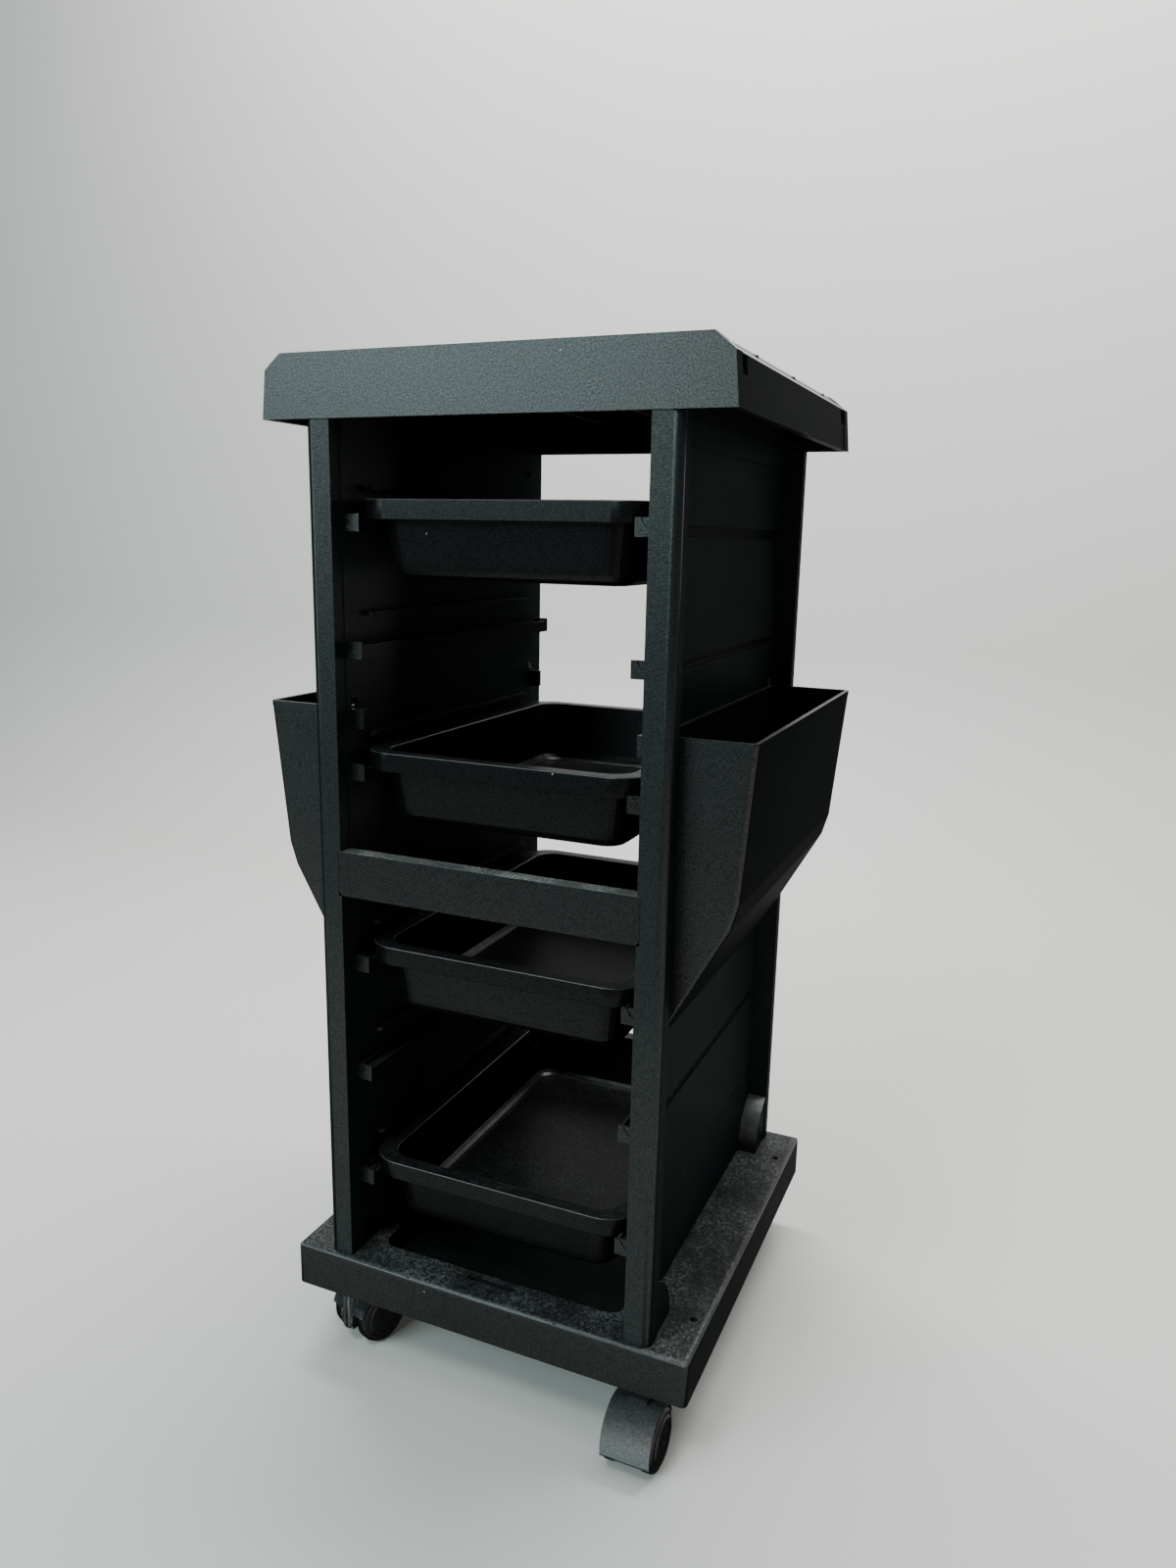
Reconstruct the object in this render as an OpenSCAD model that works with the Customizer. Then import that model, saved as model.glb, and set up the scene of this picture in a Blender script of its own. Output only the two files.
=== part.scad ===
// Rolling drawer trolley: a castered base, two side frames with runners,
// front and rear crossbars, a top cover, four lift-out drawers and two
// hang-on side pockets.
// Millimetres, +Z up. The origin is on the floor under the middle of the
// base, the front faces -Y, and right is +X.

/* [Base] */
// Width of the base across X
base_w = 371; // [364:1:390]
// Depth of the base across Y
base_d = 379; // [374:1:400]
// Height of the base skirt
base_h = 39.5; // [36:0.5:48]
// Height of the skirt's lower edge above the floor
base_z = 64; // [64:1:72]
// Radius of the base's upper edge
base_edge_r = 5; // [3:0.5:8]

/* [Frame] */
// Outside width over the posts
frame_w = 305; // [300:1:310]
// Outside depth over the posts
frame_d = 370; // [366:1:374]
// Height of the side frames
frame_h = 712.5; // [700:0.5:730]
// Width of one post seen from the front
post_w = 22.5; // [21:0.5:24]
// Depth of one post along Y
post_d = 17; // [15:0.5:20]
// Radius of a post's outer corner
post_r = 7; // [4:0.5:8]

/* [Slots] */
// Height of the lowest runner's tab
first_slot_z = 183.4; // [178:0.2:188]
// Vertical distance between two slots
slot_pitch = 99.4; // [94:0.2:100]
// Extra distance between the lower and the upper three slots
mid_gap = 66.4; // [60:0.2:70]

/* [Drawers] */
// Outside width of a drawer's rim
drawer_w = 250; // [246:1:252]
// Outside depth of a drawer's rim
drawer_d = 336; // [320:1:336]
// Height of a drawer from its bottom to its rim
drawer_h = 61; // [50:1:66]
// Plan radius of the rim's corners
drawer_r = 30; // [24:1:34]

/* [Top] */
// Width of the top cover at its lower edge
top_w = 380; // [372:1:390]
// Depth of the top cover
top_d = 373; // [372:1:380]
// Height of the top cover
top_h = 48; // [44:0.5:54]

/* [Pockets] */
// Height of a pocket's rim above the floor
pocket_top_z = 594; // [588:1:598]
// Distance of the pocket's outer wall from the middle at the rim
pocket_reach = 210; // [200:1:214]
// Length of a pocket along Y
pocket_d = 334; // [320:1:334]

/* [Casters] */
// Diameter of a wheel
wheel_dia = 50; // [48:0.5:50]
// Thickness of a wheel
wheel_t = 13; // [12:0.5:14]
// Distance of the axle behind the swivel axis
trail = 20; // [18:0.5:21]

/* [Hidden] */
$fn = 48;

plastic = "#23292b";
runner_plastic = "#2a2f31";
caster_plastic = "#2c3032";
tyre = "#151718";
steel = "#a9adb0";
wall = 3;
eps = 0.5;                    // overshoot of a cut past a face

base_top = base_z + base_h;
frame_top = base_top + frame_h;
post_x = frame_w / 2 - post_w;   // inner face of the posts
web_x = post_x - 0.5;            // inner face of the side frame's web
web_t = 3;
web_y = frame_d / 2 - post_d;    // inner ends of the posts along Y

post_skin = 2.6;
hollow_w = post_w - 2 * post_skin - 1;   // inside of a hollow post
hollow_d = post_d - 2 * post_skin;
plug_x = post_x + post_skin + hollow_w / 2;
plug_y = frame_d / 2 - post_d / 2;
screw_x = post_x + post_w / 2;   // screws that hold the side frames down
screw_y = frame_d / 2 - 38;
screw_r = 2.15;

runner_w = 15;                // from the web to the runner's inner lip
runner_h = 13.5;
runner_half = 171;            // half length of a runner
tab_t = 3;                    // thickness of a runner's stop tab
lip_x = web_x - runner_w;     // inner edge of the runners
rib_z = 19;                   // hold-down rib above the tab
rib_w = 6.5;
rib_t = 3.4;
slot_cut_h = 8.5;             // slot in the web behind a runner
groove_h = 1.6;               // groove behind the lowest runner

rim_top = 11.5;               // drawer rim above the runner's tab
front_lip_h = 15.8;           // depth of the rim's front and rear skirt
side_gap = 0.2;               // drawer flange above the stop tabs
tub_inset = 14;               // rim edge to tub wall
tub_taper = 6;
tub_fillet = 12;
tub_r = 22;
drawer_wall = 2.4;

top_edge_run = 14.5;          // chamfer of the top cover, across and down
top_edge_drop = 12;
top_draft = 3.5;
end_band = 16;                // depth of the top's proud front and rear bands
band_step = 1.4;
slot_w = 15;                  // accessory slots in the top's sides
slot_h = 13;
slot_y = 165.5;
slot_low_z = frame_top + 22;

bar_z = base_top + 335.5;
bar_h = 37.7;
bar_d = 14;
bar_half = 132.5;             // half length of a crossbar
bar_gap = 0.2;                // clearance of a crossbar in its notches
tenon_y = frame_d / 2 - 7;    // middle of the crossbars' tenons
tenon_t = 5;

tray_x = 115;                 // half width of the tray sunk in the base
tray_y = 158;
tray_depth = 22;
hole_x = 173;                 // accessory holes in the base
hole_y = 136;
hole_dia = 6;
ledge_slot_w = 45;            // slots in the front and rear ledges
ledge_slot_d = 5;

hook_y = 161;                 // pocket hooks
hook_w = 7;
hook_z = pocket_top_z - 12;   // lower edge of a hook's arm
hook_h = 10;
hook_drop = 6;                // how far a hook's nose hangs behind the web
hook_reach = 11;
lift = 8;                     // free height over a hook
knee_x = 200;
knee_z = pocket_top_z - 128;
foot_z = pocket_top_z - 240;
pocket_r = 5;                 // plan radius of a pocket's corners

stem_x = 144;                 // swivel axes of the casters
stem_y = 166;
stem_r = 5.5;
socket_z = base_z + 2;        // lower face of the caster sockets
axle_r = 3;
axle_z = wheel_dia / 2;
fit = 0.05;                   // radial running clearance
wheel_in = 9.5;               // inner face of a wheel from the caster's middle
hood_r = 28;
hood_in_r = 26;
hood_half = 21;
hood_low_z = 18;
fork_r = 8;

// heights of the six runner tabs, numbered from the top
function slot_z(i) =
    first_slot_z + (6 - i) * slot_pitch + (i <= 3 ? mid_gap : 0);
// the four casters: name, side, end and the way each one trails
casters = [["fl", -1, -1, 163], ["fr", 1, -1, 0],
           ["rl", -1, 1, 180], ["rr", 1, 1, 265]];

// ---- shared outlines ----

// rectangle with equal round corners, centred
module round_rect(w, d, r) {
    square([w - 2 * r, d], center = true);
    square([w, d - 2 * r], center = true);
    for (x = [-1, 1]) for (y = [-1, 1])
        translate([x * (w / 2 - r), y * (d / 2 - r)]) circle(r);
}

// upright outline with its two upper corners rounded, standing on Y = 0
module arch_rect(w, h, r) {
    translate([-w / 2, 0]) square([w, h - r]);
    translate([-w / 2 + r, 0]) square([w - 2 * r, h]);
    for (x = [-1, 1]) translate([x * (w / 2 - r), h - r]) circle(r);
}

// block whose upper edges are rounded all round
module crowned_block(w, d, h, r) {
    intersection() {
        linear_extrude(h) round_rect(w, d, r);
        translate([0, d / 2, 0]) rotate([90, 0, 0])
            linear_extrude(d) arch_rect(w, h, r);
        translate([-w / 2, 0, 0]) rotate([90, 0, 90])
            linear_extrude(w) arch_rect(d, h, r);
    }
}

// box from its two opposite corners
module span(a, b) {
    translate([min(a[0], b[0]), min(a[1], b[1]), min(a[2], b[2])])
        cube([abs(b[0] - a[0]), abs(b[1] - a[1]), abs(b[2] - a[2])]);
}

// copy to the four quarters of the plan
module quarters(x, y) {
    for (i = [-1, 1]) for (j = [-1, 1])
        translate([i * x, j * y, 0]) children();
}

// ---- base ----

// crossed ribs under the base
module base_ribs() {
    rib = 2.5;
    low = base_z + 6;
    for (y = [-110, 0, 110])
        span([-base_w / 2 + 1, y - rib / 2, low], [base_w / 2 - 1, y + rib / 2, base_top - 1]);
    for (x = [-70, 70])
        span([x - rib / 2, -base_d / 2 + 1, low], [x + rib / 2, base_d / 2 - 1, base_top - 1]);
}

module base() {
    color(plastic)
    difference() {
        union() {
            difference() {
                translate([0, 0, base_z])
                    crowned_block(base_w, base_d, base_h, base_edge_r);
                translate([0, 0, base_z - eps])
                    linear_extrude(base_h - wall + eps)
                        round_rect(base_w - 2 * wall, base_d - 2 * wall, 3);
            }
            translate([0, 0, base_top - tray_depth - wall])
                linear_extrude(tray_depth + wall - 1)
                    round_rect(2 * (tray_x + wall), 2 * (tray_y + wall), 15);
            base_ribs();
            // caster sockets
            quarters(stem_x, stem_y) translate([0, 0, socket_z])
                cylinder(h = base_h - 4, r = 11);
            // screw bosses under the posts
            quarters(screw_x, screw_y)
                translate([0, 0, base_top - 14]) cylinder(h = 13, r = 6);
        }
        // sunken tray
        translate([0, 0, base_top - tray_depth])
            linear_extrude(tray_depth + eps)
                round_rect(2 * tray_x, 2 * tray_y, 12);
        // stem bores
        quarters(stem_x, stem_y) translate([0, 0, socket_z - eps])
            cylinder(h = base_h - 6, r = stem_r + fit);
        // accessory holes
        quarters(hole_x, hole_y) translate([0, 0, base_top - wall - eps])
            cylinder(h = wall + 2 * eps, d = hole_dia);
        // slots in the front and rear ledges
        for (y = [-1, 1])
            translate([0, y * 166.5, base_top - wall - eps])
                linear_extrude(wall + 2 * eps) square([ledge_slot_w, ledge_slot_d], center = true);
        // screw holes up into the side frames
        quarters(screw_x, screw_y)
            translate([0, 0, base_z]) cylinder(h = base_h + eps, r = screw_r + fit);
    }
}

module base_screws() {
    color(steel)
    quarters(screw_x, screw_y) {
        difference() {
            translate([0, 0, base_top - 17]) cylinder(h = 3, r = 4.2);
            for (a = [0, 90]) rotate(a)
                translate([-3, -0.6, base_top - 17 - eps]) cube([6, 1.2, 1.5 + eps]);
        }
        translate([0, 0, base_top - 14]) cylinder(h = 26, r = screw_r);
    }
}

// ---- side frames ----

// one post in plan: square at the inside, round at its outer corner
module post_outline() {
    difference() {
        union() {
            translate([post_x, -frame_d / 2 + post_r]) square([post_w, post_d - post_r]);
            translate([post_x, -frame_d / 2]) square([post_w - post_r, post_d]);
            translate([frame_w / 2 - post_r, -frame_d / 2 + post_r]) circle(post_r);
        }
        translate([plug_x, -plug_y]) square([hollow_w, hollow_d], center = true);
    }
}

// foot gusset behind a post, seen along X: a quarter-round lobe
module ear_outline() {
    intersection() {
        translate([-19, 0]) circle(53, $fn = 96);
        square(60);
    }
}

module up_arrow() {
    linear_extrude(0.6) {
        translate([-1, -8]) square([2, 11]);
        polygon([[-3.5, 2], [3.5, 2], [0, 8]]);
    }
}

// right-hand side frame
module side_frame() {
    web_end = web_y + 3.5;
    recess_pitch = 10;
    difference() {
        union() {
            // two hollow posts
            for (m = [0, 1]) mirror([0, m, 0])
                translate([0, 0, base_top]) linear_extrude(frame_h) post_outline();
            // solid feet that take the crossbars' notches and the screws
            for (m = [0, 1]) mirror([0, m, 0]) {
                span([post_x + 1, -frame_d / 2 + 1, base_top],
                     [frame_w / 2 - 3, -web_y + 1, base_top + 10]);
                span([post_x + 1, -frame_d / 2 + 1, bar_z - 8],
                     [frame_w / 2 - 5, -web_y, bar_z + bar_h + 8]);
                // foot gusset
                translate([web_x + 1, -web_y - 1, base_top]) rotate([90, 0, 90])
                    linear_extrude(frame_w / 2 - web_x - 2) ear_outline();
            }
            // web
            span([web_x, -web_end, base_top], [web_x + web_t, web_end, frame_top]);
            // upper band of the web, proud outside and in two steps inside
            span([web_x + 1, -web_y - 1, frame_top - 17],
                 [web_x + web_t + 2, web_y + 1, frame_top]);
            span([web_x - 0.7, -web_end, frame_top - 16.5], [web_x + 1, web_end, frame_top]);
            span([web_x - 1.5, -web_end, frame_top - 11], [web_x + 1, web_end, frame_top]);
            // hold-down ribs with round front and rear corners
            for (i = [1:6]) translate([0, 0, slot_z(i) + rib_z])
                linear_extrude(rib_t) difference() {
                    translate([web_x, 0]) round_rect(2 * rib_w, 286, rib_w - 1);
                    translate([web_x + 1, -150]) square([20, 300]);
                }
            // arrows that show which way up the frame goes
            for (y = [-36, 42])
                translate([web_x + 0.1, y, slot_z(1) + 41]) rotate([90, 0, -90])
                    up_arrow();
        }
        // slots behind the upper five runners
        for (i = [1:5]) translate([web_x - eps, -runner_half + 12, slot_z(i) - runner_h + 0.5])
            cube([web_t + 2 * eps, 2 * runner_half - 24, slot_cut_h]);
        // narrow groove behind the lowest runner
        span([web_x + 1.2, -runner_half + 12, slot_z(6) - 2],
             [web_x + web_t + eps, runner_half - 12, slot_z(6) - 2 + groove_h]);
        // hook windows for the side pocket
        for (y = [-1, 1])
            span([web_x - eps, y * hook_y - hook_w / 2 - 0.5, hook_z - 0.1],
                 [web_x + web_t + eps, y * hook_y + hook_w / 2 + 0.5, hook_z + hook_h + lift + 1]);
        // notches for the crossbars
        for (y = [-1, 1])
            span([web_x - eps, y * (frame_d / 2 + eps), bar_z - bar_gap],
                 [bar_half + bar_gap, y * (frame_d / 2 - bar_d - bar_gap), bar_z + bar_h + bar_gap]);
        // mortises for the crossbars' tenons
        for (y = [-1, 1])
            span([post_x, y * tenon_y - tenon_t / 2 - 0.1, bar_z + 8.9],
                 [bar_half + 9.2, y * tenon_y + tenon_t / 2 + 0.1, bar_z + 29.1]);
        // screw bores in the gussets
        for (y = [-1, 1])
            translate([screw_x, y * screw_y, base_top - eps])
                cylinder(h = 14, r = screw_r + fit);
        // ribbed recesses in the inner side of each gusset
        for (y = [-1, 1]) for (i = [0:2])
            span([web_x - eps, y * (web_y - 3 - recess_pitch * i), base_top + 2],
                 [web_x + 8, y * (web_y - 11.5 - recess_pitch * i), base_top + (i < 2 ? 24 : 10)]);
        // blind recess near the web's rear edge
        span([web_x - eps, 127, slot_z(1) + 45], [web_x + 2.2, 157, slot_z(1) + 50.5]);
    }
}

module side_frame_right() {
    color(plastic) side_frame();
}

module side_frame_left() {
    color(plastic) mirror([1, 0, 0]) side_frame();
}

// ---- runners ----

// right-hand runner; its tab's upper edge lies on Z = 0
module runner_body(has_tongue) {
    skin = 2.4;
    difference() {
        union() {
            // inner lip and wall flange
            span([lip_x, -runner_half + 1, -runner_h], [lip_x + skin, runner_half - 1, -2.5]);
            span([web_x - skin, -runner_half + 1, -runner_h], [web_x, runner_half - 1, -2.5]);
            // trough floor
            span([lip_x + 1, -runner_half + 1, -8.5], [web_x - 1, runner_half - 1, -6]);
            // stop tabs at both ends
            for (y = [-1, 1])
                span([lip_x, y * runner_half, -runner_h], [web_x, y * (runner_half - tab_t), 0]);
            // tongue along the lower edge of the web's slot
            if (has_tongue)
                span([web_x - 1, -runner_half + 12.1, -runner_h + 0.6],
                     [web_x + 1.2, runner_half - 12.1, -runner_h + 3.4]);
        }
        for (m = [0, 1]) mirror([0, m, 0]) {
            // round relief behind each tab
            translate([lip_x + skin, -runner_half + tab_t, -6])
                cylinder(h = 8, r = 1.2);
            // dished outer corner on the face of each tab
            translate([web_x, -runner_half + 1, 1.5]) rotate([90, 0, 0])
                cylinder(h = 2, r = 10.5);
        }
    }
}

module runner(side, i) {
    color(runner_plastic)
    translate([0, 0, slot_z(i)]) mirror([side < 0 ? 1 : 0, 0, 0]) runner_body(i < 6);
}

// ---- crossbars ----

module crossbar_body() {
    front = -frame_d / 2;
    difference() {
        // bar with round lower corners
        translate([0, front + bar_d, bar_z + bar_h]) rotate([90, 0, 0])
            linear_extrude(bar_d) mirror([0, 1, 0]) arch_rect(2 * bar_half, bar_h, 5);
        // channel open to the rear
        span([-bar_half + wall, front + wall, bar_z + wall],
             [bar_half - wall, front + bar_d + eps, bar_z + bar_h - wall]);
    }
    // tenons that sit in the posts
    for (x = [-1, 1])
        span([x * (bar_half - 1), -tenon_y - tenon_t / 2, bar_z + 9],
             [x * (bar_half + 9), -tenon_y + tenon_t / 2, bar_z + 29]);
    // stiffening ribs inside the channel
    for (x = [-90:45:90])
        span([x - 1.2, front + 1, bar_z + 1], [x + 1.2, front + bar_d, bar_z + bar_h - 1]);
}

module crossbar_front() {
    color(plastic) crossbar_body();
}

module crossbar_rear() {
    color(plastic) mirror([0, 1, 0]) crossbar_body();
}

// ---- top cover ----

// outline of the top seen from the front, drawn in by `inset` all round
module top_outline(inset) {
    low = top_w / 2 - inset;
    high = top_w / 2 - top_draft - inset;
    flat_half = high - top_edge_run;
    polygon([[-low, 0], [low, 0], [high, top_h - top_edge_drop],
             [flat_half, top_h - inset], [-flat_half, top_h - inset],
             [-high, top_h - top_edge_drop]]);
}

// length of the top's outline along Y, centred
module top_bar(length, inset) {
    translate([0, length / 2, frame_top]) rotate([90, 0, 0])
        linear_extrude(length) top_outline(inset);
}

module top_cover() {
    skin = 3;
    rib = 2.5;
    cavity_w = top_w - 2 * (top_draft + top_edge_run) + 12;
    rib_top = frame_top + top_h - band_step - skin - 0.5;
    color(plastic)
    difference() {
        union() {
            // middle of the cover, one step below its end bands
            top_bar(top_d - 2 * end_band + 2, band_step / 2);
            for (y = [-1, 1]) translate([0, y * (top_d - end_band) / 2, 0])
                top_bar(end_band, 0);
        }
        // hollow underside
        translate([0, 0, frame_top - eps])
            linear_extrude(top_h - top_edge_drop - skin + eps)
                square([top_w - 2 * (top_draft + skin + 1), top_d - 2 * skin], center = true);
        translate([0, 0, frame_top])
            linear_extrude(top_h - band_step - skin)
                square([cavity_w, top_d - 2 * skin], center = true);
        // shallow recess that keeps tools on the deck
        translate([0, 0, frame_top + top_h - band_step - 1.8])
            linear_extrude(10) round_rect(290, 312, 16);
        // accessory slots
        for (x = [-1, 1]) for (y = [-1, 1])
            span([x * (top_w / 2 + 1), y * slot_y - slot_w / 2, slot_low_z],
                 [x * (top_w / 2 - 12), y * slot_y + slot_w / 2, slot_low_z + slot_h]);
    }
    color(plastic) {
        // ribs under the deck
        for (x = [-105, -35, 35, 105])
            span([x - rib / 2, -top_d / 2 + 1.5, frame_top + 24],
                 [x + rib / 2, top_d / 2 - 1.5, rib_top]);
        for (y = [-110, 0, 110])
            span([-cavity_w / 2 - 2, y - rib / 2, frame_top + 24],
                 [cavity_w / 2 + 2, y + rib / 2, rib_top]);
        // beams that stand on the side frames
        for (x = [-1, 1])
            span([x * (web_x + 0.5), -top_d / 2 + 1.5, frame_top],
                 [x * (web_x + 6), top_d / 2 - 1.5, rib_top]);
        // plugs that sit in the hollow posts
        quarters(plug_x, plug_y) translate([0, 0, frame_top - 14])
            linear_extrude(22)
                square([hollow_w - 0.2, hollow_d - 0.2], center = true);
    }
}

// ---- drawers ----

// plan of the rim, drawn in by `inset`
module rim_outline(inset) {
    round_rect(drawer_w - 2 * inset, drawer_d - 2 * inset, drawer_r - inset);
}

// thin level slab of the tub
module tub_level(z, half_x, half_y, r) {
    translate([0, 0, z]) linear_extrude(0.1) round_rect(2 * half_x, 2 * half_y, r, $fn = 32);
}

// solid of the tub from its floor up, drawn in by `inset`
module tub_solid(inset, rise) {
    top_x = drawer_w / 2 - tub_inset - inset;
    top_y = drawer_d / 2 - tub_inset + 4 - inset;
    r = tub_r - inset;
    fillet = tub_fillet - inset;
    hull() {
        tub_level(drawer_h + rise, top_x, top_y, r);
        // round lower edge, from the walls to the floor
        for (t = [0:22.5:90]) {
            draw_in = fillet * (1 - cos(t));
            tub_level(inset + fillet * (1 - sin(t)), top_x - tub_taper - draw_in,
                      top_y - tub_taper - draw_in, r - draw_in);
        }
    }
}

// drawer with its rim at the height that slot `i` gives it
module drawer(i) {
    rim_t = 2.4;
    bottom_z = slot_z(i) + rim_top - drawer_h;
    rim_z = slot_z(i) + rim_top;
    skirt_cut = slot_z(i) + side_gap;
    color(plastic)
    difference() {
        union() {
            translate([0, 0, bottom_z]) tub_solid(0, -1.2);
            translate([0, 0, rim_z - front_lip_h])
                linear_extrude(front_lip_h) rim_outline(0);
        }
        // hollow under the rim
        translate([0, 0, rim_z - front_lip_h - eps])
            linear_extrude(front_lip_h - rim_t + eps) difference() {
                rim_outline(rim_t);
                round_rect(drawer_w - 2 * tub_inset, drawer_d - 2 * tub_inset + 8, tub_r);
            }
        // inside of the tub
        translate([0, 0, bottom_z]) tub_solid(drawer_wall, 4);
        // side skirts end above the runners' stop tabs
        for (x = [-1, 1])
            span([x * (lip_x - 0.7), -drawer_d, rim_z - front_lip_h - 1],
                 [x * drawer_w, drawer_d, skirt_cut]);
    }
}

// ---- side pockets ----

// level of the pocket: outer wall at `reach`, ends at +/- `half`
module pocket_level(z, reach, half, r) {
    back = web_x + 4;
    translate([0, 0, z]) linear_extrude(0.1) {
        translate([back, -half]) square([reach - r - back, 2 * half]);
        translate([back, -half + r]) square([reach - back, 2 * (half - r)]);
        for (y = [-1, 1]) translate([reach - r, y * (half - r)]) circle(r);
    }
}

module pocket_solid(inset, rise) {
    half = pocket_d / 2 - inset;
    hull() {
        pocket_level(pocket_top_z - 0.1 + rise, pocket_reach - inset, half, pocket_r - inset);
        pocket_level(knee_z + 6, knee_x - inset, half - 4, pocket_r - inset);
        pocket_level(knee_z - 14, knee_x - 5.5 - inset, half - 5, pocket_r - inset);
        pocket_level(foot_z + inset, web_x + 11 - inset, half - 9, 2);
    }
}

// right-hand pocket with its two hooks
module pocket() {
    skin = 2.6;
    difference() {
        pocket_solid(0, 0);
        difference() {
            pocket_solid(skin, 3);
            span([0, -pocket_d, foot_z - 1], [web_x + 4 + skin, pocket_d, pocket_top_z + 5]);
        }
    }
    // thickened rim
    translate([0, 0, pocket_top_z - 4]) difference() {
        linear_extrude(4) pocket_rim(0);
        translate([0, 0, -eps]) linear_extrude(5) pocket_rim(3.4);
    }
    // hooks through the web's windows: an arm and the nose that hangs behind
    for (y = [-1, 1]) {
        span([web_x - hook_reach, y * hook_y - hook_w / 2, hook_z],
             [web_x + 5, y * hook_y + hook_w / 2, hook_z + hook_h]);
        span([web_x - hook_reach, y * hook_y - hook_w / 2, hook_z - hook_drop],
             [web_x - 0.5, y * hook_y + hook_w / 2, hook_z + 1]);
    }
}

// plan of the pocket at its rim
module pocket_rim(inset) {
    back = web_x + 4 + inset;
    reach = pocket_reach - inset;
    half = pocket_d / 2 - inset;
    r = pocket_r - inset;
    translate([back, -half]) square([reach - r - back, 2 * half]);
    translate([back, -half + r]) square([reach - back, 2 * (half - r)]);
    for (y = [-1, 1]) translate([reach - r, y * (half - r)]) circle(r);
}

module pocket_right() {
    color(plastic) pocket();
}

module pocket_left() {
    color(plastic) mirror([1, 0, 0]) pocket();
}

// ---- casters ----

// move a caster's own frame, with its axle towards -Y, to its place
module at_caster(c) {
    translate([c[1] * stem_x, c[2] * stem_y, 0]) rotate(c[3]) children();
}

module caster_stem(c) {
    color(steel) at_caster(c) {
        translate([0, 0, 42]) cylinder(h = socket_z + 28 - 42, r = stem_r);
        translate([0, 0, socket_z - 2]) cylinder(h = 2, r = 8);
    }
}

// disc across X, centred on the axle
module axle_disc(x0, x1, r) {
    translate([x0, -trail, axle_z]) rotate([0, 90, 0]) cylinder(h = x1 - x0, r = r);
}

module caster_hood(c) {
    boss_top = socket_z - 2.4;
    hood_tilt = 38;
    far = 60;
    color(caster_plastic) at_caster(c)
    difference() {
        union() {
            // fork between the wheels
            axle_disc(-fork_r, fork_r, 19);
            span([-fork_r, -trail, axle_z - 6], [fork_r, 2, boss_top - 8]);
            cylinder(h = boss_top, r = 9.2);
            // cover over the treads
            difference() {
                axle_disc(-hood_half, hood_half, hood_r);
                axle_disc(-hood_half - 1, -fork_r, hood_in_r);
                axle_disc(fork_r, hood_half + 1, hood_in_r);
                axle_disc(-fork_r - 1, fork_r + 1, 22);
            }
            axle_disc(-fork_r, fork_r, hood_r - 0.5);
        }
        // open below
        span([-far, -trail - far, -far], [far, far, hood_low_z]);
        // open behind the wheels
        for (x = [-1, 1])
            translate([0, -trail, axle_z]) rotate([-hood_tilt, 0, 0])
                span([x * fork_r, 16, -far], [x * far, far, far]);
        // stem bore, blind, and axle bore
        translate([0, 0, 41.5]) cylinder(h = 40, r = stem_r + fit);
        axle_disc(-fork_r - 1, fork_r + 1, axle_r + fit);
    }
}

module caster_axle(c) {
    color(steel) at_caster(c)
        axle_disc(-wheel_in - wheel_t + 3, wheel_in + wheel_t - 3, axle_r);
}

// right-hand wheel: domed tread and dished outer face
module wheel_body() {
    r = wheel_dia / 2;
    edge = 4;
    cap_h = 1.4;
    translate([wheel_in, -trail, axle_z]) rotate([0, 90, 0])
    difference() {
        union() {
            rotate_extrude() {
                square([r - edge, wheel_t]);
                translate([0, edge]) square([r, wheel_t - 2 * edge]);
                for (z = [edge, wheel_t - edge]) translate([r - edge, z]) circle(edge);
            }
            // domed cap on the outer face
            translate([0, 0, wheel_t - 1]) cylinder(h = cap_h + 1, r1 = r - 4, r2 = r - 7);
        }
        // blind axle bore
        translate([0, 0, -eps]) cylinder(h = wheel_t - 2 + eps, r = axle_r + fit);
        // dish in the cap
        translate([0, 0, wheel_t + cap_h - 0.8]) difference() {
            cylinder(h = 2, r = r - 10);
            cylinder(h = 2, r = 5);
        }
        // relief behind the tread
        translate([0, 0, -eps]) difference() {
            cylinder(h = 5, r = r - 6);
            translate([0, 0, -eps]) cylinder(h = 7, r = 6.5);
        }
    }
}

module caster_wheel(c, side) {
    color(tyre) at_caster(c) mirror([side < 0 ? 1 : 0, 0, 0]) wheel_body();
}

// ---- assembly ----

base();
base_screws();
side_frame_left();
side_frame_right();
crossbar_front();
crossbar_rear();
top_cover();
pocket_left();
pocket_right();
for (i = [1, 3, 4, 6])
    drawer(i);
for (i = [1:6]) {
    runner(-1, i);
    runner(1, i);
}
for (c = casters) {
    caster_stem(c);
    caster_hood(c);
    caster_axle(c);
    caster_wheel(c, -1);
    caster_wheel(c, 1);
}
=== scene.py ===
import math

import bpy
from mathutils import Matrix, Vector

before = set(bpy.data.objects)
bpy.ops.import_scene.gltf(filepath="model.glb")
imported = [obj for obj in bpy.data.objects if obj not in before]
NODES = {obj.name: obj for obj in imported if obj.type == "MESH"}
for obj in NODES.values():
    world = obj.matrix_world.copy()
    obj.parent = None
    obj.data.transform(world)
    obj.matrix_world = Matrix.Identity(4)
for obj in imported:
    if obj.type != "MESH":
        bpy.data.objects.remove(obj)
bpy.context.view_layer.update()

MM = 0.001

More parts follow.
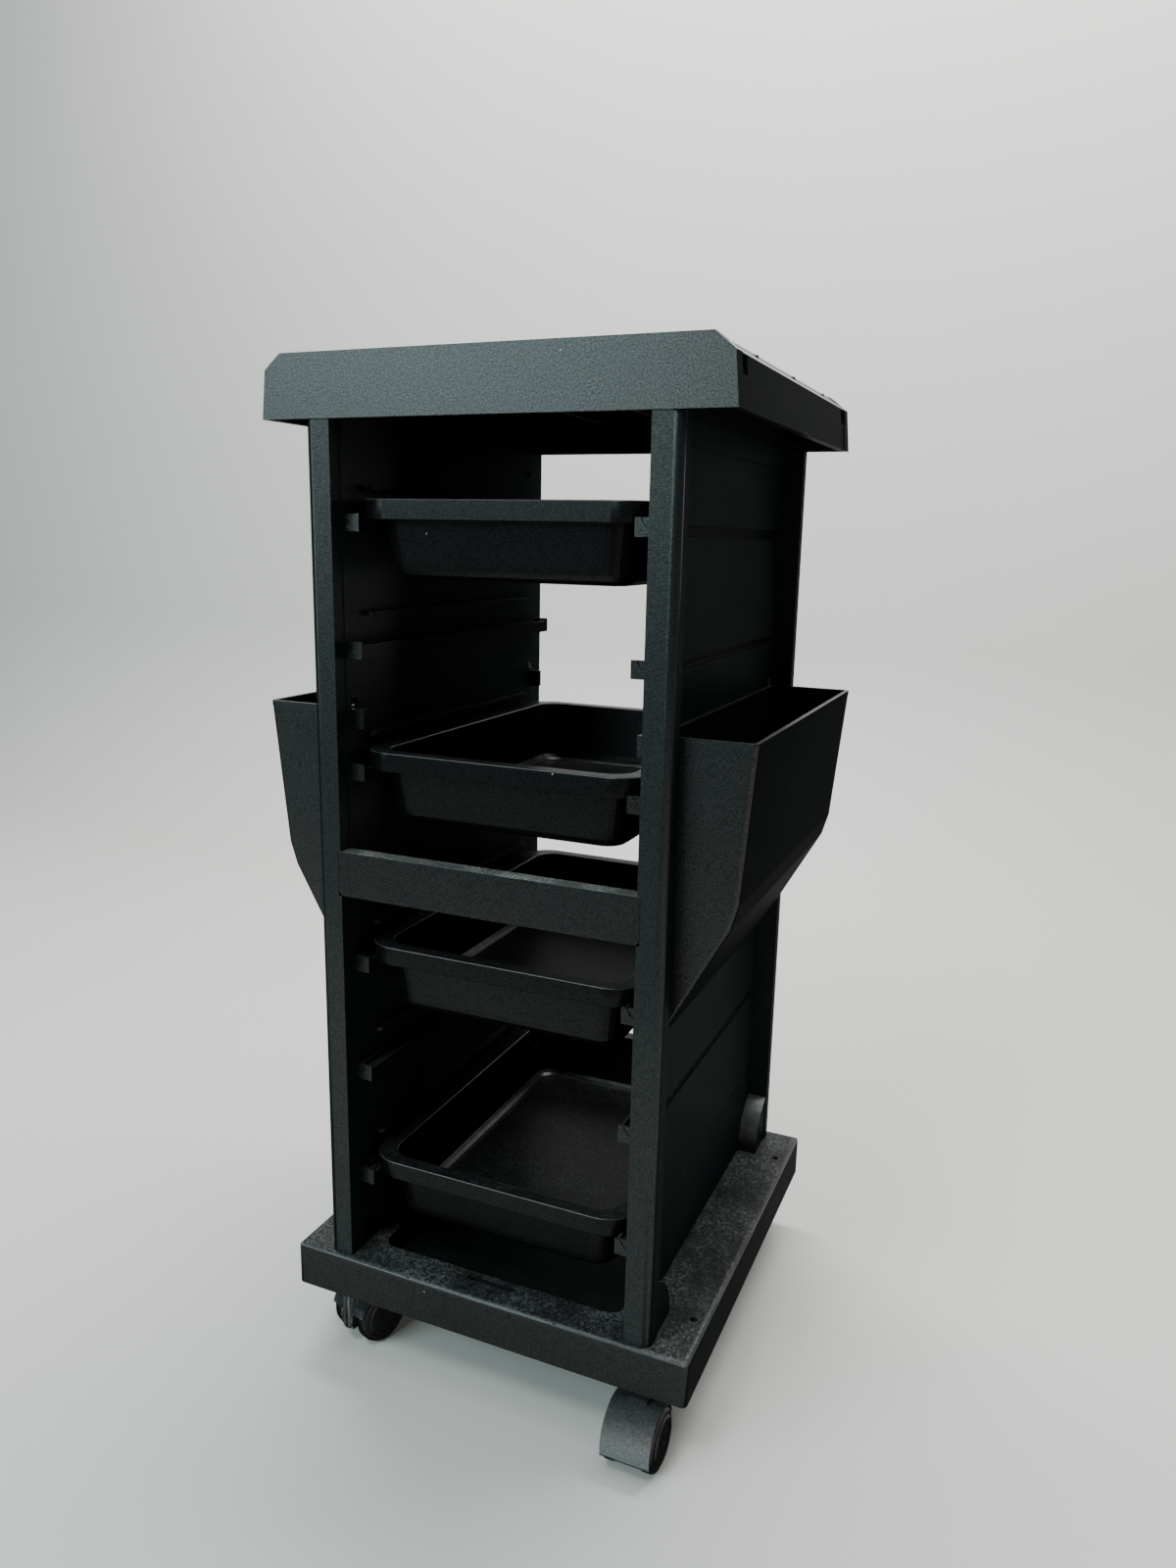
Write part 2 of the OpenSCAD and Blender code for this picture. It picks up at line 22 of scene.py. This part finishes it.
# linear colours, for a neutral white light
CHARCOAL = (0.0062, 0.0078, 0.0080, 1)
CHARCOAL_DEEP = (0.0040, 0.0050, 0.0052, 1)
PANEL_GREY = (0.0084, 0.0122, 0.0127, 1)
PANEL_DEEP = (0.0058, 0.0083, 0.0087, 1)
DRAWER_BLACK = (0.0042, 0.0048, 0.0048, 1)
DRAWER_DEEP = (0.0028, 0.0032, 0.0032, 1)
CASTER_GREY = (0.0190, 0.0205, 0.0210, 1)
CASTER_PALE = (0.027, 0.029, 0.030, 1)
WHEEL_BLACK = (0.0050, 0.0050, 0.0052, 1)
WHEEL_PALE = (0.011, 0.011, 0.011, 1)
DUST = (0.190, 0.200, 0.198, 1)
THICK_DUST = (0.520, 0.540, 0.520, 1)
# pale colour on upward-slanting rims: partly wear, partly a painted highlight
PALE_WEAR_AND_HIGHLIGHT = (0.340, 0.370, 0.370, 1)
SPECK = (0.55, 0.55, 0.52, 1)
ZINC = (0.52, 0.53, 0.54, 1)
ZINC_DULL = (0.36, 0.37, 0.38, 1)
FLOOR_TONE = (0.70, 0.68, 0.65, 1)
ROOM_TONE = (0.80, 0.94, 0.97, 1)

# how fine each pattern of the plastic is, in features per metre
CLOUD_SCALE = 7.0         # slow change of tone across a panel
WAVE_SCALE = 18.0         # sink and warp of the moulding
PATCH_SCALE = 26.0        # patches of dust
SCUFF_SCALE = 48.0        # handling marks
WEAR_AND_HIGHLIGHT_SCALE = 70.0         # pale stretches along the upslanting rims, partly wear and partly painted highlight
SPECK_SCALE = 95.0        # cells, a few of which hold a speck
DUST_GRAIN_SCALE = 430.0
PEBBLE_SCALE = 820.0      # mould grain
FINE_SCALE = 1300.0       # the finest part of the mould grain

# how strong each of them is, as a share of the whole
SCUFF_SHARE = 0.03
SPECK_SHARE = 0.6
SHELTERED_DUST = 0.12     # dust left below the height where it sets in
WEAR_AND_HIGHLIGHT_SHARE = 0.22

# changes of roughness
PEBBLE_ROUGH = 0.04
DUST_ROUGH = 0.20
EDGE_SMOOTH = 0.10

# height of the surface normal where a look sets in, and where it is full
LEVEL = (0.6, 0.97)
LEANING = (0.20, 0.45)

EDGE_RADIUS = 1.1 * MM
DUST_STEP = 2 * MM
WELD_GAP = 0.01 * MM
BEVEL_ANGLE = math.radians(38)


# ---- material nodes ----

class Shader:
    """A material's node tree, with short calls for the nodes used here."""

    def __init__(self, name):
        self.material = bpy.data.materials.new(name)
        self.material.use_nodes = True
        self.tree = self.material.node_tree
        self.principled = self.tree.nodes["Principled BSDF"]
        self.place = self.add("ShaderNodeTexCoord").outputs["Object"]

    def add(self, kind, **values):
        node = self.tree.nodes.new(kind)
        for key, value in values.items():
            setattr(node, key, value)
        return node

    def link(self, source, target):
        self.tree.links.new(source, target)

    def math(self, operation, a, b=None):
        node = self.add("ShaderNodeMath", operation=operation)
        for socket, value in zip(node.inputs, (a, b)):
            if isinstance(value, (int, float)):
                socket.default_value = value
            elif value is not None:
                self.link(value, socket)
        return node.outputs[0]

    def noise(self, scale, detail=3.0, roughness=0.5, stretch=None):
        node = self.add("ShaderNodeTexNoise")
        node.inputs["Scale"].default_value = scale
        node.inputs["Detail"].default_value = detail
        node.inputs["Roughness"].default_value = roughness
        place = self.place
        if stretch:
            mapping = self.add("ShaderNodeMapping")
            mapping.inputs["Scale"].default_value = stretch
            self.link(place, mapping.inputs["Vector"])
            place = mapping.outputs["Vector"]
        self.link(place, node.inputs["Vector"])
        return node.outputs["Fac"]

    def cells(self, scale):
        node = self.add("ShaderNodeTexVoronoi")
        node.inputs["Scale"].default_value = scale
        self.link(self.place, node.inputs["Vector"])
        return node

    def remap(self, value, low, high, to_low=0.0, to_high=1.0):
        node = self.add("ShaderNodeMapRange")
        node.inputs["From Min"].default_value = low
        node.inputs["From Max"].default_value = high
        node.inputs["To Min"].default_value = to_low
        node.inputs["To Max"].default_value = to_high
        self.link(value, node.inputs["Value"])
        return node.outputs["Result"]

    def mix(self, factor, a, b):
        node = self.add("ShaderNodeMix", data_type="RGBA")
        self.link(factor, node.inputs["Factor"])
        for socket, value in ((node.inputs[6], a), (node.inputs[7], b)):
            if isinstance(value, tuple):
                socket.default_value = value
            else:
                self.link(value, socket)
        return node.outputs[2]

    def height_of(self, vector):
        axes = self.add("ShaderNodeSeparateXYZ")
        self.link(vector, axes.inputs[0])
        return axes.outputs["Z"]

    def upward(self, low, high):
        """0 where the normal's height is under low, 1 from high upwards."""
        normal = self.add("ShaderNodeNewGeometry").outputs["Normal"]
        return self.remap(self.height_of(normal), low, high)

    def edge(self, radius):
        """1 beside outer edges within the radius, 0 on flat surfaces."""
        bevel = self.add("ShaderNodeBevel", samples=4)
        bevel.inputs["Radius"].default_value = radius
        geometry = self.add("ShaderNodeNewGeometry")
        dot = self.add("ShaderNodeVectorMath", operation="DOT_PRODUCT")
        self.link(bevel.outputs[0], dot.inputs[0])
        self.link(geometry.outputs["Normal"], dot.inputs[1])
        return self.remap(dot.outputs["Value"], 0.995, 0.85)

    def seen_square_on(self):
        """1 where the surface faces the eye, 0 at a slant. For gloss only."""
        weight = self.add("ShaderNodeLayerWeight")
        weight.inputs["Blend"].default_value = 0.5
        return self.remap(weight.outputs["Facing"], 0.46, 0.25)

    def bump(self, height, distance, strength=1.0, after=None):
        node = self.add("ShaderNodeBump")
        node.inputs["Distance"].default_value = distance
        node.inputs["Strength"].default_value = strength
        self.link(height, node.inputs["Height"])
        if after:
            self.link(after, node.inputs["Normal"])
        return node.outputs["Normal"]


def moulded_plastic(name, dark, light, dust, rough, specular, grain=0.00016,
                    level_gloss=0.22, dust_tone=DUST, dust_above=0.0,
                    edge_shine=1.6, slant_gloss=0.0016):
    """Injection-moulded plastic: a fine mould grain, dust on level surfaces,
    edges that catch the light, faint scuffs and a few pale specks."""
    s = Shader(name)
    pebble = s.noise(PEBBLE_SCALE, 3.0, 0.6)
    cloud = s.remap(s.noise(CLOUD_SCALE, 4.0, 0.6), 0.30, 0.72)
    colour = s.mix(cloud, dark, light)

    # faint handling marks, short and in all directions
    scuff = s.remap(s.noise(SCUFF_SCALE, 6.0, 0.72), 0.63, 0.76)
    colour = s.mix(s.math("MULTIPLY", scuff, SCUFF_SHARE), colour, DUST)

    # dust lies on level surfaces, thick in patches and speckled
    level = s.upward(*LEVEL)
    patches = s.remap(s.noise(PATCH_SCALE, 6.0, 0.70), 0.36, 0.66, 0.20, 1.0)
    grains = s.remap(s.noise(DUST_GRAIN_SCALE, 4.0, 0.85), 0.47, 0.60, 0.05, 1.3)
    film = s.math("MULTIPLY", s.math("MULTIPLY", patches, grains), dust)
    exposed = s.remap(s.height_of(s.place), dust_above, dust_above + DUST_STEP,
                      SHELTERED_DUST, 1.0)
    lying = s.math("MULTIPLY", s.math("MULTIPLY", level, exposed), film)
    colour = s.mix(lying, colour, dust_tone)

    # pale specks, in the few cells whose random colour is reddest
    cell = s.cells(SPECK_SCALE)
    spot = s.remap(cell.outputs["Distance"], 0.085, 0.045)
    tint = s.add("ShaderNodeSeparateColor")
    s.link(cell.outputs["Color"], tint.inputs[0])
    chosen = s.remap(tint.outputs[0], 0.955, 0.97)
    speck = s.math("MULTIPLY", s.math("MULTIPLY", spot, chosen), SPECK_SHARE)
    colour = s.mix(speck, colour, SPECK)

    # rims that slant upwards are painted pale in places: partly wear, partly a painted
    # highlight standing in for the light they catch from above, stronger where edge_shine
    # is higher
    upper = s.math("MULTIPLY", s.math("SUBTRACT", 1.0, level), s.upward(*LEANING))
    wear_and_highlight = s.remap(s.noise(WEAR_AND_HIGHLIGHT_SCALE, 5.0, 0.7), 0.34, 0.64,
                   0.0, WEAR_AND_HIGHLIGHT_SHARE * min(edge_shine, 1.2))
    colour = s.mix(s.math("MULTIPLY", upper, wear_and_highlight), colour, PALE_WEAR_AND_HIGHLIGHT)
    s.link(colour, s.principled.inputs["Base Color"])

    # edges are rubbed smoother, dust is rougher
    spread = s.remap(pebble, 0.3, 0.7, rough - PEBBLE_ROUGH, rough + PEBBLE_ROUGH)
    matt = s.math("ADD", spread, s.math("MULTIPLY", lying, DUST_ROUGH))
    rubbed = s.math("MULTIPLY", s.edge(EDGE_RADIUS), EDGE_SMOOTH)
    s.link(s.math("SUBTRACT", matt, rubbed), s.principled.inputs["Roughness"])

    # the gloss fades at a slant, as if the mould grain shaded itself
    gloss = s.remap(s.seen_square_on(), 0.0, 1.0, slant_gloss, specular)
    gloss = s.math("ADD", gloss, s.math("MULTIPLY", level, level_gloss))
    glint = s.math("MULTIPLY", gloss, s.remap(pebble, 0.32, 0.68, 0.40, 1.60))
    shine = s.math("ADD", glint, s.math("MULTIPLY", upper, edge_shine))
    s.link(shine, s.principled.inputs["Specular IOR Level"])

    fine = s.bump(s.noise(FINE_SCALE, 2.0, 0.6), grain)
    pebbled = s.bump(pebble, grain, 0.8, fine)
    wavy = s.bump(s.noise(WAVE_SCALE, 1.0, 0.4), 0.00030, 0.16, pebbled)
    s.link(wavy, s.principled.inputs["Normal"])
    return s.material


def zinc_steel(name):
    """Zinc-plated steel with fine turning marks."""
    s = Shader(name)
    tone = s.mix(s.remap(s.noise(160.0, 4.0), 0.3, 0.7), ZINC, ZINC_DULL)
    s.link(tone, s.principled.inputs["Base Color"])
    s.principled.inputs["Metallic"].default_value = 1.0
    s.link(s.remap(s.noise(300.0, 3.0), 0.3, 0.7, 0.28, 0.48),
           s.principled.inputs["Roughness"])
    s.link(s.bump(s.noise(2400.0, 2.0, 0.5, (1.0, 1.0, 6.0)), 0.00004),
           s.principled.inputs["Normal"])
    return s.material


# ---- finish on the CAD nodes ----

def paint(names, material):
    for name in names:
        node = NODES[name]
        if not node.material_slots:
            node.data.materials.append(material)
        for place in node.material_slots:
            place.material = material


def soften(names, width, segments=2):
    """Bevel the outer and inner edges of CAD nodes by a small width."""
    for name in names:
        node = NODES[name]
        weld = node.modifiers.new("weld", "WELD")
        weld.merge_threshold = WELD_GAP
        bevel = node.modifiers.new("edge", "BEVEL")
        bevel.width = width
        bevel.segments = segments
        bevel.limit_method = "ANGLE"
        bevel.angle_limit = BEVEL_ANGLE
        bevel.harden_normals = True
        bevel.use_clamp_overlap = True


def starting(*prefixes):
    return [name for name in NODES if name.startswith(prefixes)]


def finish_nodes():
    """Give each CAD node its material and its rounded edges."""
    hood = moulded_plastic("caster_hood_plastic", CASTER_GREY, CASTER_PALE,
                           dust=0.25, rough=0.42, grain=0.00006, specular=0.5,
                           edge_shine=0.1)
    wheel = moulded_plastic("wheel_plastic", WHEEL_BLACK, WHEEL_PALE,
                            dust=0.4, rough=0.42, grain=0.00004, specular=0.3,
                            edge_shine=0.2)
    frame_plastic = moulded_plastic("frame_plastic", PANEL_DEEP, PANEL_GREY,
                                    dust=0.12, rough=0.36, specular=0.30,
                                    level_gloss=0.35, edge_shine=0.6)
    ledge_plastic = moulded_plastic("ledge_plastic", CHARCOAL_DEEP, CHARCOAL,
                                    dust=1.0, rough=0.34, specular=0.34,
                                    level_gloss=1.0, dust_tone=THICK_DUST)
    runner_plastic = moulded_plastic("runner_plastic", CHARCOAL_DEEP, CHARCOAL,
                                     dust=0.35, rough=0.32, specular=0.40,
                                     level_gloss=0.9)
    top_plastic = moulded_plastic("top_plastic", CHARCOAL_DEEP, CHARCOAL,
                                  dust=0.10, rough=0.38, specular=0.60,
                                  edge_shine=3.2)
    base_plastic = moulded_plastic("base_plastic", CHARCOAL_DEEP, CHARCOAL,
                                   dust=0.58, rough=0.40, specular=0.34,
                                   level_gloss=0.12, dust_above=0.098,
                                   edge_shine=0.35)
    drawer_plastic = moulded_plastic("drawer_plastic", DRAWER_DEEP, DRAWER_BLACK,
                                     dust=0.16, rough=0.34, grain=0.00007,
                                     specular=0.16, level_gloss=0.06,
                                     edge_shine=0.7, slant_gloss=0.0004)
    pocket_plastic = moulded_plastic("pocket_plastic", CHARCOAL_DEEP, CHARCOAL,
                                     dust=0.22, rough=0.38, specular=0.40,
                                     slant_gloss=0.0002)
    steel = zinc_steel("zinc_steel")

    casters = starting("caster")
    hoods = [name for name in casters if name.endswith("hood")]
    paint(starting("side_frame"), frame_plastic)
    paint(starting("crossbar"), ledge_plastic)
    paint(starting("runner"), runner_plastic)
    paint(["base"], base_plastic)
    paint(["top_cover"], top_plastic)
    paint(starting("drawer"), drawer_plastic)
    paint(starting("pocket"), pocket_plastic)
    paint(hoods, hood)
    paint([name for name in casters if "wheel" in name], wheel)
    paint([name for name in casters if name.endswith(("stem", "axle"))], steel)
    paint(["base_screws"], steel)

    soften(["base", "top_cover"], 0.9 * MM, 3)
    soften(starting("drawer"), 0.9 * MM, 3)
    soften(starting("side_frame", "crossbar"), 0.6 * MM)
    soften(starting("pocket"), 0.7 * MM)
    soften(starting("runner"), 0.35 * MM)
    soften(hoods, 0.6 * MM)


# ---- stage ----

def plain_material(name, colour, rough):
    """Matt paint whose tone drifts by four percent."""
    s = Shader(name)
    deeper = tuple(0.96 * part for part in colour[:3]) + (1,)
    s.link(s.mix(s.noise(3.0, 2.0), colour, deeper), s.principled.inputs["Base Color"])
    s.principled.inputs["Roughness"].default_value = rough
    return s.material


def backdrop():
    """Pale floor that sweeps up into a plain wall behind the object."""
    half = 5.0
    front_y = -1.1
    wall_y = 1.6
    wall_top = 4.0
    sweep = 0.5
    steps = 16
    profile = [(front_y, 0.0), (wall_y - sweep, 0.0)]
    for i in range(1, steps + 1):
        turn = math.pi / 2 * i / steps
        profile.append((wall_y - sweep + sweep * math.sin(turn),
                        sweep - sweep * math.cos(turn)))
    profile.append((wall_y, wall_top))
    points = [(x, y, z) for y, z in profile for x in (-half, half)]
    faces = [(2 * i, 2 * i + 1, 2 * i + 3, 2 * i + 2) for i in range(len(profile) - 1)]
    mesh = bpy.data.meshes.new("backdrop")
    mesh.from_pydata(points, [], faces)
    mesh.shade_smooth()
    mesh.materials.append(plain_material("pale_floor", FLOOR_TONE, 0.8))
    sheet = bpy.data.objects.new("backdrop", mesh)
    bpy.context.collection.objects.link(sheet)


def area_light(name, place, aim, size, power, colour=(1, 1, 1)):
    """A rectangular lamp of so many watts that looks from place to aim."""
    light = bpy.data.lights.new(name, "AREA")
    light.shape = "RECTANGLE"
    light.size, light.size_y = size
    light.energy = power
    light.color = colour
    lamp = bpy.data.objects.new(name, light)
    lamp.location = place
    lamp.rotation_euler = (Vector(aim) - Vector(place)).to_track_quat("-Z", "Y").to_euler()
    bpy.context.collection.objects.link(lamp)


def lights():
    """A window at the left front, a soft ceiling with a lamp, a wash on the
    wall, and a weak warm light from low on the right."""
    area_light("window", (-1.5, -2.6, 1.70), (0, 0, 0.75),
               (2.0, 1.5), 72, (0.76, 0.98, 1.0))
    area_light("ceiling", (0.3, -0.1, 2.7), (0.1, 0.1, 0),
               (2.0, 2.0), 26, (0.95, 1.0, 1.0))
    area_light("ceiling_lamp", (-0.25, -1.6, 2.6), (0, 0, 0.5),
               (0.6, 0.6), 24, (0.90, 1.0, 1.0))
    area_light("wall_wash", (0.0, 0.7, 2.9), (0.0, 1.6, 0.9), (3.0, 0.5), 100)
    area_light("low_bounce", (1.5, -1.2, 0.25), (0.1, 0, 0.2),
               (1.4, 0.4), 3.5, (1.0, 0.80, 0.62))
    world = bpy.data.worlds.new("room")
    world.use_nodes = True
    background = world.node_tree.nodes["Background"]
    background.inputs["Color"].default_value = ROOM_TONE
    background.inputs["Strength"].default_value = 0.12
    bpy.context.scene.world = world


def camera():
    """A little lower than the top, 23 degrees round to the right."""
    yaw, pitch, roll = (math.radians(angle) for angle in (23.21, 12.41, 1.17))
    ahead = Vector((-math.sin(yaw) * math.cos(pitch),
                    math.cos(yaw) * math.cos(pitch),
                    -math.sin(pitch)))
    level = Vector((math.cos(yaw), math.sin(yaw), 0))
    over = level.cross(ahead)
    right = math.cos(roll) * level + math.sin(roll) * over
    up = -math.sin(roll) * level + math.cos(roll) * over
    turn = Matrix((right, up, -ahead)).transposed()
    data = bpy.data.cameras.new("camera")
    data.lens = 25.67
    data.clip_start = 0.01
    eye = bpy.data.objects.new("camera", data)
    eye.matrix_world = Matrix.Translation((0.4026, -0.9157, 0.7319)) @ turn.to_4x4()
    bpy.context.collection.objects.link(eye)
    bpy.context.scene.camera = eye


finish_nodes()
backdrop()
lights()
camera()
